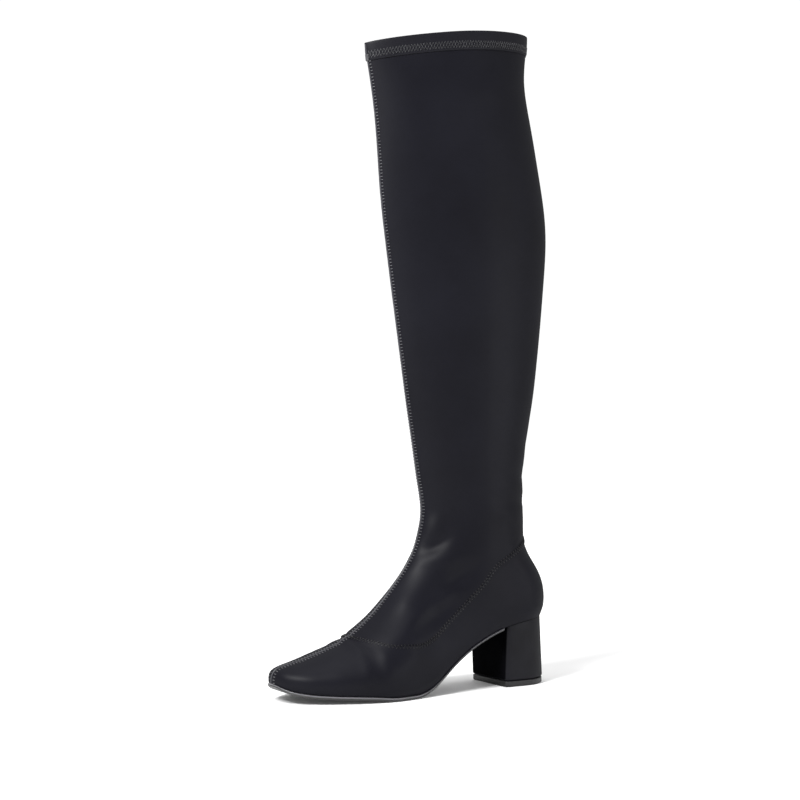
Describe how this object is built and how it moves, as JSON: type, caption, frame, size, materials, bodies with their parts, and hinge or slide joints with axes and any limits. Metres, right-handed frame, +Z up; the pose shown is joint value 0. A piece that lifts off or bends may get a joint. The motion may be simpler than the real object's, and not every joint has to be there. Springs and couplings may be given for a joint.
{
  "type": "tall boot",
  "caption": "Tall pull-on boot for the left foot, stretch cloth upper with a centre-front seam, pointed toe, thin sole and a block heel, hollow and open at the collar.",
  "frame": {"origin": "on the floor under the middle of the heel's base", "axes": "+Z up along the leg, -Y towards the toe, +X towards the outer side of the foot"},
  "size_m": [0.0894, 0.2495, 0.5325],
  "materials": {
    "stretch_cloth": "matte",
    "hem_cloth": "matte",
    "heel_cover": "matte",
    "sole_rubber": "satin",
    "lift_rubber": "satin",
    "sock_lining": "matte"
  },
  "bodies": {
    "root": {"outsole": "sole_rubber", "heel": "heel_cover", "heel_lift": "lift_rubber", "insole": "sock_lining", "upper": "stretch_cloth", "shaft": "stretch_cloth", "collar_band": "hem_cloth"}
  },
  "joints": []
}
